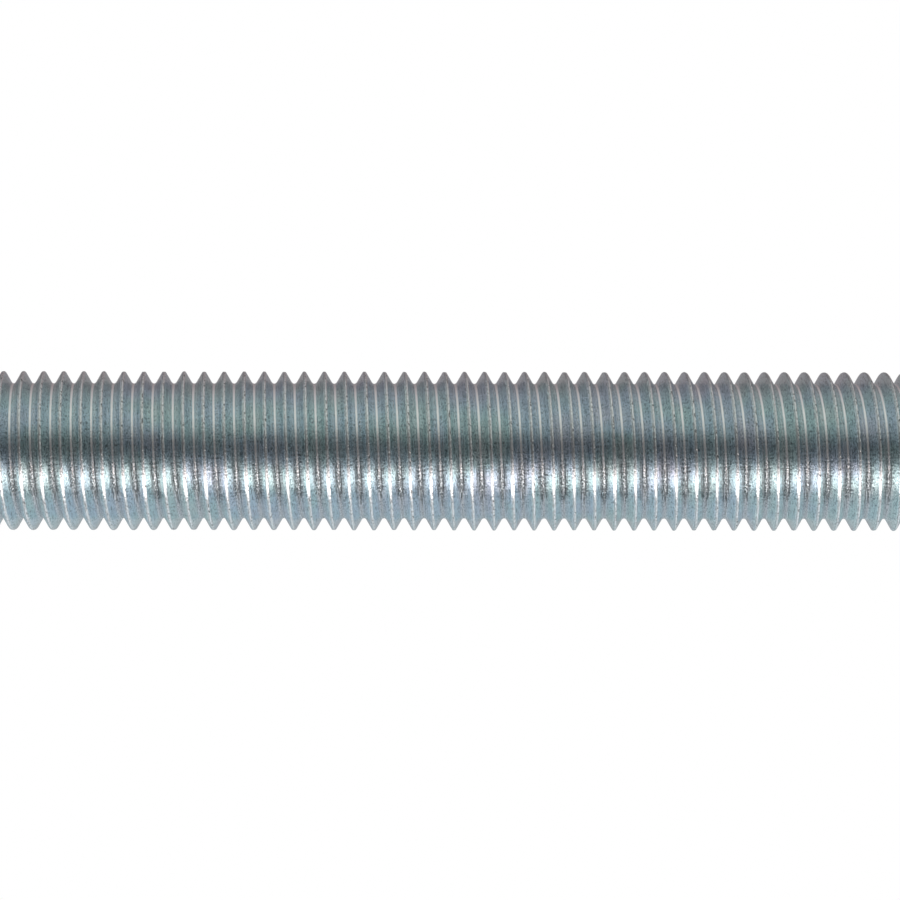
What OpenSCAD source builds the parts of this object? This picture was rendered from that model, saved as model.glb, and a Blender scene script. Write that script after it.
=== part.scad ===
// Threaded rod with a coarse metric thread, M16 x 2, right hand, single start.
// The rod stands on one end: its axis is Z, and its lower end face lies on Z = 0.
// The thread is one helical solid that runs past both ends, where an end cutter
// leaves a flat face and a chamfer.

/* [Rod] */
// Length from one end face to the other
rod_length = 120; // [60:1:145]

/* [Thread] */
// Nominal diameter of the thread
thread_d = 16; // [12:0.5:30]
// Pitch, the rise of the single start in one turn
pitch = 2; // [1.65:0.05:3.5]
// Angle between the two flanks of a groove
flank_angle = 60; // [50:1:72]
// How far the finished thread lies inside its nominal size, on the radius
allowance = 0.05; // [0:0.01:0.15]
// Angle from +X at which a crest leaves the lower end face
thread_start = 293; // [0:1:359]

/* [Ends] */
// Slope of the chamfer, measured from the end face
chamfer_angle = 45; // [30:1:60]
// How far the flat face stops inside the roots of the thread, on the radius
end_inset = 0.15; // [0.05:0.01:0.5]

/* [Hidden] */
$fn = 96;

// Basic profile of a metric thread, on the radius: the sharp triangle is cut
// off by an eighth at the crest and a sixth at the root.
sharp_height = pitch / 2 / tan(flank_angle / 2);
thread_depth = sharp_height * 17 / 24;
crest_r = thread_d / 2 - allowance;
root_r = crest_r - thread_depth;
crest_flat = pitch / 8;
root_flat = pitch / 6;

// One section through the groove and ridge, from root to root: radius and height
section = [
    [root_r, (root_flat - pitch) / 2],
    [crest_r, -crest_flat / 2],
    [crest_r, crest_flat / 2],
    [root_r, (pitch - root_flat) / 2]
];
corners = len(section);

// The helix is drawn in straight steps, from below the lower end to above the upper
turn_steps = 20;
first_crest = -pitch * (1 + thread_start / 360);
run_out = pitch / 2 + root_flat;
steps = ceil((rod_length + run_out - first_crest) / pitch * turn_steps);
start_centre = steps * corners;
end_centre = start_centre + 1;

end_r = root_r - end_inset;
chamfer_rise = tan(chamfer_angle);
cutter_r = crest_r + pitch;
cutter_depth = first_crest - pitch;

// Corner c of the section at step i of the helix
function helix_point(i, c) =
    let (turn = 360 * i / turn_steps, p = section[c])
    [p[0] * cos(turn), p[0] * sin(turn), first_crest + pitch * i / turn_steps + p[1]];

// Index of corner c at step i. Corner 4 is the first corner of the next turn up.
function at(i, c) = c < corners ? i * corners + c : (i + turn_steps) * corners;

// The four sides between step i and the next: lower flank, crest, upper flank
// and root, which stops a turn early because the next turn up ends there
function sides(i) = [
    for (c = [0:corners - 1])
        if (c < corners - 1 || i + 1 + turn_steps < steps)
            each [[at(i, c), at(i, c + 1), at(i + 1, c + 1)], [at(i, c), at(i + 1, c + 1), at(i + 1, c)]]
];

// A fan from a point on the axis closes the first turn below and the last above
lower_rim = concat(
    [for (i = [0:turn_steps]) at(i, 0)],
    [for (c = [corners - 1:-1:0]) at(0, c)]
);
upper_rim = concat(
    [for (i = [steps - 1:-1:steps - 1 - turn_steps]) at(i, corners - 1)],
    [for (c = [0:corners - 1]) at(steps - 1, c)]
);
function fan(rim, centre) = [for (k = [0:len(rim) - 2]) [centre, rim[k + 1], rim[k]]];

module thread() {
    points = concat(
        [for (i = [0:steps - 1], c = [0:corners - 1]) helix_point(i, c)],
        [[0, 0, cutter_depth / 2], [0, 0, first_crest + pitch * (steps - 1) / turn_steps]]
    );
    faces = concat(
        [for (i = [0:steps - 2]) each sides(i)],
        fan(lower_rim, start_centre),
        fan(upper_rim, end_centre)
    );
    polyhedron(points = points, faces = faces);
}

// What an end loses: all below the face, and a cone outside it
module end_cutter() {
    rotate_extrude()
        polygon([
            [0, cutter_depth],
            [cutter_r, cutter_depth],
            [cutter_r, (cutter_r - end_r) * chamfer_rise],
            [end_r, 0],
            [0, 0]
        ]);
}

module rod() {
    color([0.66, 0.70, 0.73])
        difference() {
            thread();
            end_cutter();
            translate([0, 0, rod_length]) mirror([0, 0, 1]) end_cutter();
        }
}

rod();
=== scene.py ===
"""Threaded rod, M16 x 2: bright zinc plate on a rolled thread.

Shapes are drawn in millimetres and turned to metres as each mesh is made.
"""

import math

import bmesh
import bpy
from mathutils import Matrix, Vector, noise


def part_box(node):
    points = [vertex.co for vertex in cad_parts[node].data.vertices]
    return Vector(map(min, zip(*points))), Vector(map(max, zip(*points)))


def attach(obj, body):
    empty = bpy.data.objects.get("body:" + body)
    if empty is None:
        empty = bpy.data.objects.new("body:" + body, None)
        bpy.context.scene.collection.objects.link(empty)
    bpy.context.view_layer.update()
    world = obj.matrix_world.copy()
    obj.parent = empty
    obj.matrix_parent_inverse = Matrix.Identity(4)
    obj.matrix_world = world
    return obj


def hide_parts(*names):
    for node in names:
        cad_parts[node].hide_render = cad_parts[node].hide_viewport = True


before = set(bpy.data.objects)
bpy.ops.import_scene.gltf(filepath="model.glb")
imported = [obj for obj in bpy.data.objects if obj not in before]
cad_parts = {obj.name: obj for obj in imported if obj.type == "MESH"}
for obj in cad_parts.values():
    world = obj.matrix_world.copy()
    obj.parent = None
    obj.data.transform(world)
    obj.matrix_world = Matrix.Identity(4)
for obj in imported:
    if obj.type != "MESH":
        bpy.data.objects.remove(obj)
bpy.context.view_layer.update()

MM = 0.001
NODE = "rod"

# The rod's size is the frame's, and the rest is the metric profile, as in the part's source
node_low, node_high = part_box(NODE)
LENGTH = node_high.z / MM
CREST_R = node_high.x / MM
MIDDLE = LENGTH / 2
PITCH = 2.0
START_TURN = 293 / 360
HALF_FLANK = math.radians(30)
CREST_FLAT = PITCH / 8
SHARP_HEIGHT = PITCH / 2 / math.tan(HALF_FLANK)
GROOVE_DEPTH = SHARP_HEIGHT * 17 / 24
SHARP_ROOT_R = CREST_R - SHARP_HEIGHT * 7 / 8

# How far from each sharp corner the curve of a rolled thread leaves the flank
CREST_TANGENT = 0.115
ROOT_TANGENT = 0.57
CREST_STEPS = 4
ROOT_STEPS = 8

# The fold along the crest and the crest's wear: how deep each is, and the length of groove over
# which it comes and goes
FOLD_DEPTH = 0.016
FOLD_HALF_WIDTH = 0.05
FOLD_RUN = 9.0
WEAR_DEPTH = 0.04
WEAR_RUN = 14.0
WORN_BAND = 0.06

# Each end has a flat face and a 45 degree chamfer, and the corner between them is broken
END_INSET = 0.15
END_R = CREST_R - GROOVE_DEPTH - END_INSET
CORNER_BREAK = 0.12
CORNER_STEPS = 3
# A turned face lies no further than this inside the chamfer's cone or outside it, and faces
# the end at least this much
CHAMFER_INSIDE = 0.10
CHAMFER_OUTSIDE = 0.02
CHAMFER_FACING = 0.6
FLAT_SLACK = 0.01

TURN_STEPS = 64
LATHE_STEPS = 96
SPARE = 1.0
SHARP_EDGE = math.radians(30)

# Sizes of the plate's marks, along the groove and across it. They are drawn coarser than on a
# real plate, which the picture is too small to show
STREAK = (3.0, 0.16)
GRAIN = (0.26, 0.13)
PIT = (0.45, 0.22)
FILM_PATCH = 6.0
END_GRAIN = 0.5
RING_SPACING = 0.4
# A wave texture of scale 1 repeats every so many metres
WAVE_REPEAT = math.tau / 20

# Bands along the groove: how far past the crest each one's middle line lies, and how far off
# that line the band has nothing and is full
CREST_BAND = (0.10, 0.16, 0.07)
# The fold's band is a painted shade in the crease along the crest
FOLD_SHADE_BAND = (-0.06, 0.09, 0.03)
ROOT_BAND = (0.0, 0.84, 0.93)
# The torn band is rougher and bumpier, and its colour is painted shade and painted light
TORN_SHADED_BAND = (-0.035, 0.70, 0.86)
# A painted shade line along the edge of the torn root
SHADE_LINE_BAND = (-0.80, 0.08, 0.03)
FRAY = 0.22

# Where the roots are torn and carry painted shade and painted light, by how far round towards +X they lie: 0
# in front and behind, and 1 at +X
TORN_SHADED_SIDE = {"From Min": -0.06, "From Max": 0.42}
TORN_SHADED_WANDER = 0.50
# Where the painted glints in the root end, and where the painted shade turns to a painted lit copy
PAINTED_GLINTS_END = {"From Min": 0.42, "From Max": 0.54}
LIT_SIDE = {"From Min": 0.54, "From Max": 0.70}
# How much later the root turns from painted shade to painted light
ROOT_LAG = 0.10

# How far the plate stands up in its marks
RELIEF = 0.016
TORN_RELIEF = 0.014
RING_RELIEF = 0.002

FILM_SHADES = ((0.30, "#D6DAE3"), (0.44, "#D1DDE6"), (0.57, "#CFDFE1"), (0.70, "#D5DFE0"))

# Camera, fitted to the photograph: 900 pixels wide, with the rod tilted a little in it
PICTURE_WIDTH = 900
SENSOR_WIDTH = 36.0
PIXELS_PER_MM = 10.003
AXIS_BELOW_CENTRE = 1.1
ROD_TILT = 0.075
CAMERA_DISTANCE = 310.0
CAMERA_HEIGHT = 57.0
AIM_HEIGHT = 59.95

# Studio. A bearing is measured in degrees round the rod, from the camera's side, -Y, towards +X,
# which is down in the photograph
FLOOR_R = 90.0
FLOOR_FADES_FROM = FLOOR_R * 0.4
FLOOR_FADES_TO = FLOOR_R * 0.97
TENT_R = 900.0
TENT_REACH = 1500.0
# Shade of the tent by bearing: dark behind the camera and behind the rod's upper edge
TENT_SHADES = (
    (-180, "#A29EA0"), (-150, "#948C8E"), (-135, "#9F999A"), (-120, "#B0ACAD"), (-105, "#BCBCBC"),
    (-90, "#C1C4C2"), (-70, "#D0D6D1"), (-50, "#C8CECA"), (-38, "#B6BBB7"), (-28, "#969A97"),
    (-18, "#767676"), (-6, "#6C6C6C"), (6, "#6C6C6C"), (16, "#929496"), (28, "#BCBFC1"),
    (70, "#D9E0E3"), (88, "#D9E0E3"), (104, "#EAF1F5"), (122, "#E0E7EB"), (142, "#D3DFE3"),
    (160, "#C3CED2"), (180, "#A29EA0"),
)
# Bearings at which each strip light starts and ends, and how bright it is
STRIPS = {"strip_light_rim": (31, 42, 1.6), "strip_light": (42, 68, 3.6)}
STRIP_COLOUR = "#FFF2EE"
STRIP_DISTANCE = 850.0
STRIP_REACH = 1200.0
STRIP_STEPS = 16
SOFTBOX_BEARING = 47
SOFTBOX_DISTANCE = 500.0
SOFTBOX_WIDTH = 360.0
SOFTBOX_HEIGHT = 200.0
SOFTBOX_RADIANCE = 2.2


def linear(hex_colour):
    """sRGB hex as a linear RGBA colour."""
    values = [int(hex_colour[i:i + 2], 16) / 255 for i in (1, 3, 5)]
    return [v / 12.92 if v <= 0.04045 else ((v + 0.055) / 1.055) ** 2.4 for v in values] + [1.0]


def smooth_step(low, high, value):
    t = min(1.0, max(0.0, (value - low) / (high - low)))
    return t * t * (3 - 2 * t)


# Shapes

def new_object(name, bm):
    """A scene object from a bmesh that is drawn in millimetres."""
    bmesh.ops.scale(bm, vec=(MM, MM, MM), verts=bm.verts)
    mesh = bpy.data.meshes.new(name)
    bm.to_mesh(mesh)
    bm.free()
    piece = bpy.data.objects.new(name, mesh)
    bpy.context.scene.collection.objects.link(piece)
    return piece


def chain(bm, points):
    """Vertices joined by edges, in order."""
    verts = [bm.verts.new(p) for p in points]
    for pair in zip(verts, verts[1:]):
        bm.edges.new(pair)
    return verts


def rounded(bm, vert, tangent, segments):
    """Rounds a corner of a chain, from that distance along each side of it."""
    bmesh.ops.bevel(
        bm, geom=[vert], offset=tangent, offset_type="OFFSET", segments=segments,
        profile=0.5, affect="VERTICES", material=-1,
    )


def merged(bm):
    bmesh.ops.remove_doubles(bm, verts=bm.verts, dist=1e-4)
    bmesh.ops.recalc_face_normals(bm, faces=bm.faces)


def spun(bm, steps, rise=0.0):
    """Turns the whole drawing once round Z, climbing by rise."""
    bmesh.ops.spin(
        bm, geom=bm.verts[:] + bm.edges[:], cent=(0, 0, 0), axis=(0, 0, 1),
        dvec=(0, 0, rise / steps), angle=math.tau, steps=steps, use_merge=rise == 0,
        space=Matrix.Identity(4),
    )


def stacked(bm, rise, doublings):
    """Puts a copy of the whole drawing on top of it, again and again."""
    for level in range(doublings):
        copy = bmesh.ops.duplicate(bm, geom=bm.verts[:] + bm.edges[:] + bm.faces[:])
        verts = [v for v in copy["geom"] if isinstance(v, bmesh.types.BMVert)]
        bmesh.ops.translate(bm, vec=(0, 0, rise * 2 ** level), verts=verts)


def cut_flat(bm, height, outward):
    """Cuts off all that lies past a height and closes the cut."""
    cut = bmesh.ops.bisect_plane(
        bm, geom=bm.verts[:] + bm.edges[:] + bm.faces[:], dist=1e-6,
        plane_co=(0, 0, height), plane_no=(0, 0, outward), clear_outer=True,
    )
    rim = [e for e in cut["geom_cut"] if isinstance(e, bmesh.types.BMEdge)]
    bmesh.ops.edgeloop_fill(bm, edges=rim)


def turn_of(point):
    """Where a point lies round the rod, as a share of a turn from +X."""
    return math.atan2(point.y, point.x) / math.tau


def off_crest_of(point):
    """The number of the crest nearest a point, and how many pitches off it the point lies."""
    off_first = point.z / PITCH + START_TURN - turn_of(point)
    crest = round(off_first)
    return crest, off_first - crest


def worn(bm):
    """Sinks the fold along the crest, which comes and goes, and wears the crest a little low in places.

    The noise is nothing on whole numbers, so it is read halfway between them.
    """
    for vert in bm.verts:
        radius = math.hypot(vert.co.x, vert.co.y)
        if radius < CREST_R - WORN_BAND:
            continue
        crest, off_crest = off_crest_of(vert.co)
        along = (crest + turn_of(vert.co)) * math.tau * CREST_R
        fold = FOLD_DEPTH * smooth_step(FOLD_HALF_WIDTH, 0, abs(off_crest) * PITCH)
        fold *= smooth_step(-0.25, 0.35, noise.noise((along / FOLD_RUN, 0.5, 0.5)))
        low = WEAR_DEPTH * smooth_step(-0.1, 0.6, noise.noise((along / WEAR_RUN, off_crest * 2, 7.5)))
        share = 1 - (fold + low) / radius
        vert.co.x *= share
        vert.co.y *= share


def thread_blank():
    """The helical thread, a little longer than the rod and closed flat at both ends."""
    bm = bmesh.new()
    middle_r = (CREST_R + SHARP_ROOT_R) / 2
    half_crest = CREST_FLAT / 2
    half_middle = half_crest + (CREST_R - middle_r) * math.tan(HALF_FLANK)
    first_crest = -PITCH * (1 + START_TURN)
    corners = chain(bm, [
        (middle_r, 0, first_crest - half_middle),
        (CREST_R, 0, first_crest - half_crest),
        (CREST_R, 0, first_crest),
        (CREST_R, 0, first_crest + half_crest),
        (SHARP_ROOT_R, 0, first_crest + PITCH / 2),
        (middle_r, 0, first_crest + PITCH - half_middle),
    ])
    rounded(bm, corners[1], CREST_TANGENT, CREST_STEPS)
    rounded(bm, corners[3], CREST_TANGENT, CREST_STEPS)
    rounded(bm, corners[4], ROOT_TANGENT, ROOT_STEPS)
    turns = (LENGTH + SPARE + half_middle - first_crest) / PITCH
    spun(bm, TURN_STEPS, PITCH)
    stacked(bm, PITCH, math.ceil(math.log2(turns)))
    merged(bm)
    worn(bm)
    cut_flat(bm, -SPARE, -1)
    cut_flat(bm, LENGTH + SPARE, 1)
    bmesh.ops.recalc_face_normals(bm, faces=bm.faces)
    return new_object("threaded_rod", bm)


def end_cutter(name, height, outward):
    """What an end loses: all past its face, and a cone outside it, with the corner broken."""
    bm = bmesh.new()
    outer = CREST_R + PITCH
    corners = chain(bm, [
        (0, 0, -outer),
        (outer, 0, -outer),
        (outer, 0, outer - END_R),
        (END_R, 0, 0),
        (0, 0, 0),
    ])
    rounded(bm, corners[3], CORNER_BREAK, CORNER_STEPS)
    bmesh.ops.scale(bm, vec=(1, 1, -outward), verts=bm.verts)
    bmesh.ops.translate(bm, vec=(0, 0, height), verts=bm.verts)
    spun(bm, LATHE_STEPS)
    merged(bm)
    return new_object(name, bm)


def cut_by(piece, cutters):
    """Takes the cutters out of the piece, and removes them."""
    for cutter in cutters:
        cut = piece.modifiers.new(cutter.name, "BOOLEAN")
        cut.operation, cut.object, cut.solver = "DIFFERENCE", cutter, "EXACT"
    evaluated = piece.evaluated_get(bpy.context.evaluated_depsgraph_get())
    mesh = bpy.data.meshes.new_from_object(evaluated)
    piece.modifiers.clear()
    piece.data = mesh
    for cutter in cutters:
        bpy.data.objects.remove(cutter)


def is_turned(face, centre):
    """Whether a face lies on an end face, its broken corner or its chamfer."""
    from_end = min(centre.z, LENGTH - centre.z)
    past_chamfer = math.hypot(centre.x, centre.y) - END_R - from_end
    by_chamfer = -CHAMFER_INSIDE < past_chamfer < CHAMFER_OUTSIDE and from_end < GROOVE_DEPTH
    return from_end < FLAT_SLACK or (by_chamfer and abs(face.normal.z) > CHAMFER_FACING)


def mark_surface(piece):
    """Smooth faces with sharp cut edges, the finish of each face, and a map in mm that follows the thread."""
    bm = bmesh.new()
    bm.from_mesh(piece.data)
    thread_map = bm.loops.layers.uv.new("thread")
    for face in bm.faces:
        centre = face.calc_center_median() / MM
        face.smooth = True
        face.material_index = int(is_turned(face, centre))
        crest, _ = off_crest_of(centre)
        for loop in face.loops:
            point = loop.vert.co / MM
            turn = turn_of(point)
            turn += round(turn_of(centre) - turn)
            across = point.z - PITCH * (crest + turn - START_TURN)
            loop[thread_map].uv = ((crest + turn) * math.tau * CREST_R, across)
    for edge in bm.edges:
        edge.smooth = len(edge.link_faces) == 2 and edge.calc_face_angle() < SHARP_EDGE
    bm.to_mesh(piece.data)
    bm.free()
    shading = piece.modifiers.new("flat_flanks", "WEIGHTED_NORMAL")
    shading.mode, shading.weight, shading.keep_sharp = "FACE_AREA", 100, True


# Finishes

def add(tree, kind, inputs=None, output=None, **settings):
    """Adds a node with its settings, links or sets its inputs, and gives the output named or its first."""
    made = tree.nodes.new("ShaderNode" + kind)
    for name, value in settings.items():
        setattr(made, name, value)
    for name, value in (inputs or {}).items():
        if isinstance(value, bpy.types.NodeSocket):
            tree.links.new(value, made.inputs[name])
        else:
            made.inputs[name].default_value = linear(value) if isinstance(value, str) else value
    if output is not None:
        return made.outputs[output]
    return next((socket for socket in made.outputs if socket.enabled), None)


def summed(tree, base, *shares):
    """base and so much of each value."""
    for value, amount in shares:
        base = add(tree, "Math", {0: value, 1: amount, 2: base}, operation="MULTIPLY_ADD")
    return base


def put_stops(ramp, shades):
    """Gives a colour ramp its shades, each at its place."""
    stops = ramp.node.color_ramp.elements
    for _ in range(len(shades) - 2):
        stops.new(0.5)
    for stop, (at, shade) in zip(stops, shades):
        stop.position, stop.color = at, linear(shade)


def new_material(name):
    material = bpy.data.materials.new(name)
    material.use_nodes = True
    tree = material.node_tree
    tree.nodes.clear()
    return material, tree


def toned(tree, value, low, high, first, second):
    """A colour that turns from the first to the second as a value rises from low to high."""
    share = add(tree, "MapRange", {"Value": value, "From Min": low, "From Max": high},
                interpolation_type="SMOOTHSTEP")
    return add(tree, "Mix", {0: share, 6: first, 7: second}, data_type="RGBA")


def zinc_plate():
    """Bright zinc plate with a clear blue passivation, on a rolled thread.

    The eye sees a satin metal with fine streaks along the groove, a thin film that wanders
    between teal, blue and lilac, and a greyer pitted crest where the metal folded as it was
    rolled, with a painted shade darkening the fold. On the +X side the root is rougher and
    bumpier, and its colour is painted shade and light: dark with painted glints, lighter
    further round, and with a painted shade line at its edge.
    """
    material, tree = new_material("zinc_plate_blue_passivated")
    lanes = add(tree, "UVMap", uv_map="thread")
    across = add(tree, "SeparateXYZ", {0: lanes}, output="Y")

    def pattern(size, detail):
        """Noise whose grains have that size, along the groove and across it."""
        along_size, across_size = size
        scaled = add(tree, "Mapping", {"Vector": lanes, "Scale": (1 / along_size, 1 / across_size, 1)})
        return add(tree, "TexNoise", {"Vector": scaled, "Scale": 1.0, "Detail": detail, "Roughness": 0.6},
                   noise_dimensions="2D")

    def band(line, none_at, full_at, frayed=0.0, most=1.0):
        """A band along the groove, by how far a place lies off a line past the crest."""
        past = add(tree, "Math", {0: across, 1: line}, operation="SUBTRACT")
        off_line = summed(tree, frayed, (add(tree, "Math", {0: past}, operation="ABSOLUTE"), 1.0))
        return add(tree, "MapRange", {"Value": off_line, "From Min": none_at, "From Max": full_at,
                                      "To Max": most}, interpolation_type="SMOOTHSTEP")

    streaks = pattern(STREAK, 2.0)
    grain = pattern(GRAIN, 1.0)
    pits = pattern(PIT, 1.0)

    # How far round towards +X a place lies, which wanders along the groove and lags in the root; it places
    # the painted shade and light on the torn side
    place = add(tree, "TexCoord", output="Object")
    level = add(tree, "VectorMath", {0: place, 1: (1, 1, 0)}, operation="MULTIPLY")
    outward = add(tree, "VectorMath", {0: level}, operation="NORMALIZE")
    towards_x = add(tree, "SeparateXYZ", {0: outward}, output="X")
    side = summed(tree, -TORN_SHADED_WANDER / 2, (towards_x, 1.0), (streaks, TORN_SHADED_WANDER))
    root = band(*ROOT_BAND)
    root_side = summed(tree, side, (root, -ROOT_LAG))

    frayed = summed(tree, -FRAY / 2, (pits, FRAY))
    crest = band(*CREST_BAND, frayed)
    # Painted shade in the fold along the crest
    fold = band(*FOLD_SHADE_BAND, frayed, most=0.50)
    # The torn side: rougher and bumpier, and its colour takes painted shade and painted light
    torn_shaded_side = add(tree, "MapRange", {"Value": side, **TORN_SHADED_SIDE}, interpolation_type="SMOOTHSTEP")
    torn_and_shaded = band(*TORN_SHADED_BAND, most=torn_shaded_side)
    # Painted shade line at the root's edge, gone where the painted lit copy takes over
    painted_shade_line = add(tree, "MapRange", {"Value": root_side, "To Min": band(*SHADE_LINE_BAND, most=torn_shaded_side),
                                       "To Max": 0.0, **LIT_SIDE}, interpolation_type="SMOOTHSTEP")
    pitted = add(tree, "MapRange", {"Value": pits, "From Min": 0.64, "From Max": 0.72, "To Max": crest},
                 interpolation_type="SMOOTHSTEP")

    film = add(tree, "ValToRGB", {
        "Fac": add(tree, "TexNoise", {"Vector": place, "Scale": 1 / (FILM_PATCH * MM), "Detail": 1.5}),
    })
    put_stops(film, FILM_SHADES)
    marks = summed(tree, grain, (streaks, 0.4))
    crest_metal = toned(tree, grain, 0.36, 0.60, "#CECECF", "#ECEEF0")

    # Painted shade and light on the torn root: a shaded copy with painted glints, and a lit copy further
    # round
    # Painted glints in the shaded root, which end further round
    painted_glints_end = add(tree, "MapRange", {"Value": root_side, "To Max": root, **PAINTED_GLINTS_END},
                     interpolation_type="SMOOTHSTEP")
    painted_glint = add(tree, "Mix", {0: painted_glints_end, 6: "#C2CCD0", 7: "#858C90"}, data_type="RGBA")
    shaded_copy = toned(tree, grain, 0.46, 0.66, "#5A6063", painted_glint)
    # The painted lit copy's grain tones, darker in the root
    lit_dim_grains = add(tree, "Mix", {0: root, 6: "#ABB1B6", 7: "#8C9297"}, data_type="RGBA")
    lit_bright_grains = add(tree, "Mix", {0: root, 6: "#D6DBE0", 7: "#BCC1C7"}, data_type="RGBA")
    lit_copy = toned(tree, grain, 0.35, 0.60, lit_dim_grains, lit_bright_grains)
    painted_shade_and_light = toned(tree, root_side, LIT_SIDE["From Min"], LIT_SIDE["From Max"], shaded_copy, lit_copy)

    colour = toned(tree, marks, 0.49, 0.68, "#98A4A8", film)
    # Over the film: the bare crest and root, painted shade in the fold, painted shade and light on the torn
    # root, a painted shade line, and the crest's pits
    for share, over in (
        (crest, crest_metal), (root, "#F5F3F4"), (fold, "#868A8C"),
        (torn_and_shaded, painted_shade_and_light), (painted_shade_line, "#6A6E70"), (pitted, "#55524F"),
    ):
        colour = add(tree, "Mix", {0: share, 6: colour, 7: over}, data_type="RGBA")

    shine_marks = summed(tree, 0.0, (streaks, 1.1), (grain, 0.5))
    dull = add(tree, "MapRange", {"Value": shine_marks, "From Min": 0.75, "From Max": 0.87},
               interpolation_type="SMOOTHSTEP")
    rough = summed(tree, 0.12, (dull, 0.13), (crest, 0.02), (torn_and_shaded, 0.15))
    bump = add(tree, "Bump", {
        "Height": summed(tree, streaks, (grain, 1.3), (pitted, -1.5)), "Strength": 1.0,
        "Distance": summed(tree, RELIEF * MM, (torn_and_shaded, TORN_RELIEF * MM)),
    })
    shader = add(tree, "BsdfPrincipled", {
        "Base Color": colour, "Metallic": 1.0, "Roughness": rough, "Normal": bump,
    })
    add(tree, "OutputMaterial", {"Surface": shader})
    return material


def turned_end():
    """The same plate on the turned ends, which keeps the rings that the tool left.

    The rings are drawn coarser than a tool leaves them, so that they show.
    """
    material, tree = new_material("zinc_plate_turned_end")
    place = add(tree, "TexCoord", output="Object")
    rings = add(tree, "TexWave", {
        "Vector": place, "Scale": WAVE_REPEAT / (RING_SPACING * MM), "Distortion": 1.2,
        "Detail": 2.0, "Detail Scale": 0.3,
    }, output="Fac", wave_type="RINGS", rings_direction="Z")
    grain = add(tree, "TexNoise", {"Vector": place, "Scale": 1 / (END_GRAIN * MM), "Detail": 3.0})
    ringed = summed(tree, grain, (rings, 0.25))
    colour = toned(tree, ringed, 0.30, 0.95, "#B6BEC3", "#DADFE1")
    bump = add(tree, "Bump", {"Height": rings, "Strength": 1.0, "Distance": RING_RELIEF * MM})
    shader = add(tree, "BsdfPrincipled", {
        "Base Color": colour, "Metallic": 1.0, "Roughness": 0.32, "Normal": bump,
    })
    add(tree, "OutputMaterial", {"Surface": shader})
    return material


# Studio

def around(bearing, distance, height):
    angle = math.radians(bearing)
    return Vector((math.sin(angle) * distance, -math.cos(angle) * distance, height))


def reflected_only(board, material):
    """Lets only reflections see a board, which lights nothing else and hides nothing."""
    board.data.materials.append(material)
    board.visible_camera = board.visible_diffuse = board.visible_shadow = False
    board.visible_transmission = board.visible_volume_scatter = False


def light_tent():
    """A closed can of grey boards round the rod, whose shade runs with the bearing."""
    bm = bmesh.new()
    bmesh.ops.create_cone(
        bm, cap_ends=True, segments=LATHE_STEPS, radius1=TENT_R, radius2=TENT_R, depth=2 * TENT_REACH,
    )
    bmesh.ops.translate(bm, vec=(0, 0, MIDDLE), verts=bm.verts)
    tent = new_object("light_tent", bm)
    material, tree = new_material("light_tent")
    place = add(tree, "SeparateXYZ", {0: add(tree, "TexCoord", output="Object")}).node.outputs
    towards_camera = add(tree, "Math", {0: place["Y"], 1: -1.0}, operation="MULTIPLY")
    bearing = add(tree, "Math", {0: place["X"], 1: towards_camera}, operation="ARCTAN2")
    shade = add(tree, "ValToRGB", {"Fac": summed(tree, 0.5, (bearing, 1 / math.tau))})
    put_stops(shade, [((at + 180) / 360, colour) for at, colour in TENT_SHADES])
    add(tree, "OutputMaterial", {"Surface": add(tree, "Emission", {"Color": shade, "Strength": 1.0})})
    reflected_only(tent, material)


def strip(name, first, last, radiance):
    """A tall bright board inside the tent, between two bearings."""
    bm = bmesh.new()
    chain(bm, [around(first, STRIP_DISTANCE, MIDDLE + side * STRIP_REACH) for side in (-1, 1)])
    bmesh.ops.spin(
        bm, geom=bm.verts[:] + bm.edges[:], cent=(0, 0, 0), axis=(0, 0, 1),
        angle=math.radians(last - first), steps=STRIP_STEPS,
    )
    board = new_object(name, bm)
    material, tree = new_material(name)
    glow = add(tree, "Emission", {"Color": STRIP_COLOUR, "Strength": radiance})
    add(tree, "OutputMaterial", {"Surface": glow})
    reflected_only(board, material)


def main_softbox():
    """The lamp that lights what doesn't reflect, and casts the rod's shadow on the floor."""
    lamp = bpy.data.lights.new("main_softbox", "AREA")
    lamp.shape = "RECTANGLE"
    lamp.size, lamp.size_y = SOFTBOX_WIDTH * MM, SOFTBOX_HEIGHT * MM
    lamp.energy = SOFTBOX_RADIANCE * math.pi * lamp.size * lamp.size_y
    holder = bpy.data.objects.new("main_softbox", lamp)
    bpy.context.scene.collection.objects.link(holder)
    holder.location = around(SOFTBOX_BEARING, SOFTBOX_DISTANCE, MIDDLE) * MM
    holder.visible_glossy = False
    towards = Vector((0, 0, MIDDLE)) * MM - holder.location
    holder.rotation_euler = towards.to_track_quat("-Z", "Y").to_euler()


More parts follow.
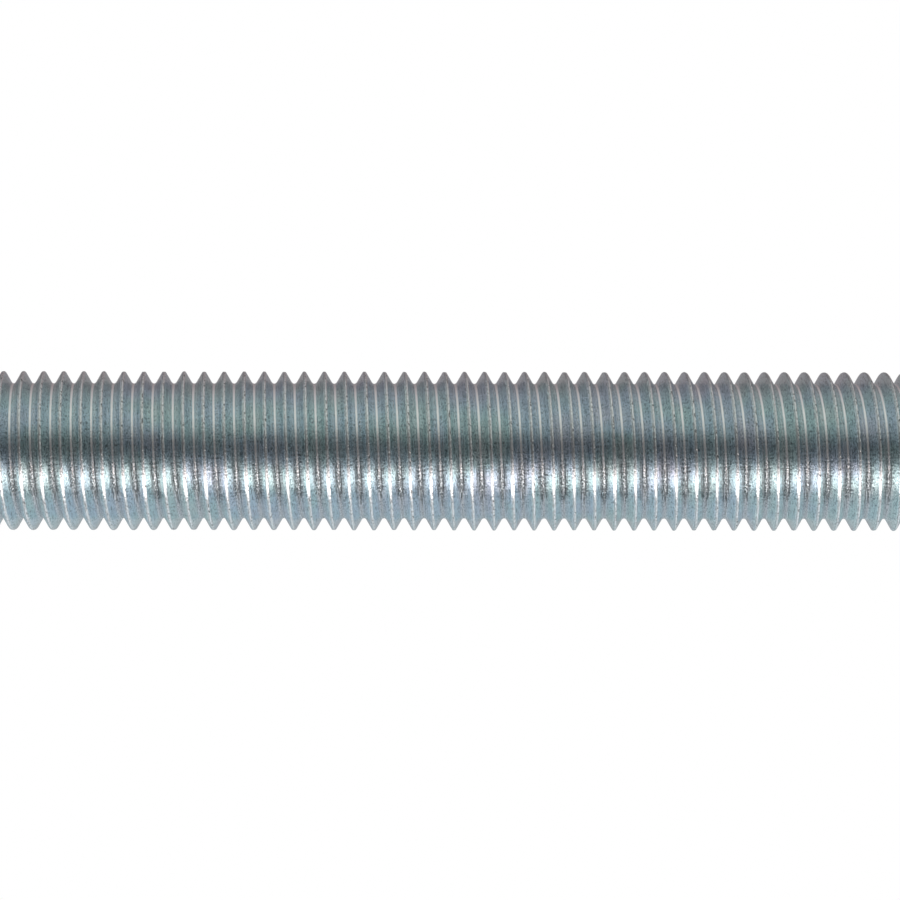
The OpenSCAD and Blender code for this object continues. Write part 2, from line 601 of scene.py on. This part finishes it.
def floor_patch():
    """Pale floor round the foot of the rod, which fades into the white surround."""
    bm = bmesh.new()
    bmesh.ops.create_circle(bm, cap_ends=True, segments=LATHE_STEPS, radius=FLOOR_R)
    floor = new_object("floor", bm)
    material, tree = new_material("pale_floor")
    place = add(tree, "TexCoord", output="Object")
    fade = add(tree, "MapRange", {
        "Value": add(tree, "VectorMath", {0: place}, operation="LENGTH"),
        "From Min": FLOOR_FADES_FROM * MM, "From Max": FLOOR_FADES_TO * MM,
    }, interpolation_type="SMOOTHSTEP")
    paint = add(tree, "BsdfDiffuse", {"Color": "#FAFAFA"})
    clear = add(tree, "BsdfTransparent")
    add(tree, "OutputMaterial", {"Surface": add(tree, "MixShader", {0: fade, 1: paint, 2: clear})})
    floor.data.materials.append(material)
    floor.visible_glossy = False


def white_surround():
    world = bpy.data.worlds.new("white_surround")
    world.use_nodes = True
    world.node_tree.nodes["Background"].inputs["Color"].default_value = (1, 1, 1, 1)
    world.node_tree.nodes["Background"].inputs["Strength"].default_value = 1.0
    bpy.context.scene.world = world


def camera():
    """Looks along +Y at the middle of the rod, which lies across the picture, its upper end to the right."""
    data = bpy.data.cameras.new("camera")
    data.sensor_width = SENSOR_WIDTH
    outline_distance = CAMERA_DISTANCE - CREST_R ** 2 / CAMERA_DISTANCE
    data.lens = PIXELS_PER_MM * outline_distance * SENSOR_WIDTH / PICTURE_WIDTH
    data.clip_start, data.clip_end = 0.01, 10
    tilt = math.radians(ROD_TILT)
    along = Vector((-math.sin(tilt), 0, math.cos(tilt)))
    above_axis = AXIS_BELOW_CENTRE / PIXELS_PER_MM
    place = Vector((-above_axis, -CAMERA_DISTANCE, CAMERA_HEIGHT))
    back = (place - Vector((-above_axis, 0, AIM_HEIGHT))).normalized()
    up = back.cross(along).normalized()
    eye = bpy.data.objects.new("camera", data)
    bpy.context.scene.collection.objects.link(eye)
    turn = Matrix((up.cross(back), up, back)).transposed().to_4x4()
    eye.matrix_world = Matrix.Translation(place * MM) @ turn
    bpy.context.scene.camera = eye


camera()
rod = thread_blank()
cut_by(rod, [end_cutter("lower_cutter", 0, -1), end_cutter("upper_cutter", LENGTH, 1)])
mark_surface(rod)
rod.data.materials.append(zinc_plate())
rod.data.materials.append(turned_end())
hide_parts(NODE)
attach(rod, "root")

white_surround()
floor_patch()
light_tent()
for strip_name, strip_values in STRIPS.items():
    strip(strip_name, *strip_values)
main_softbox()

bpy.context.scene.view_settings.view_transform = "Standard"
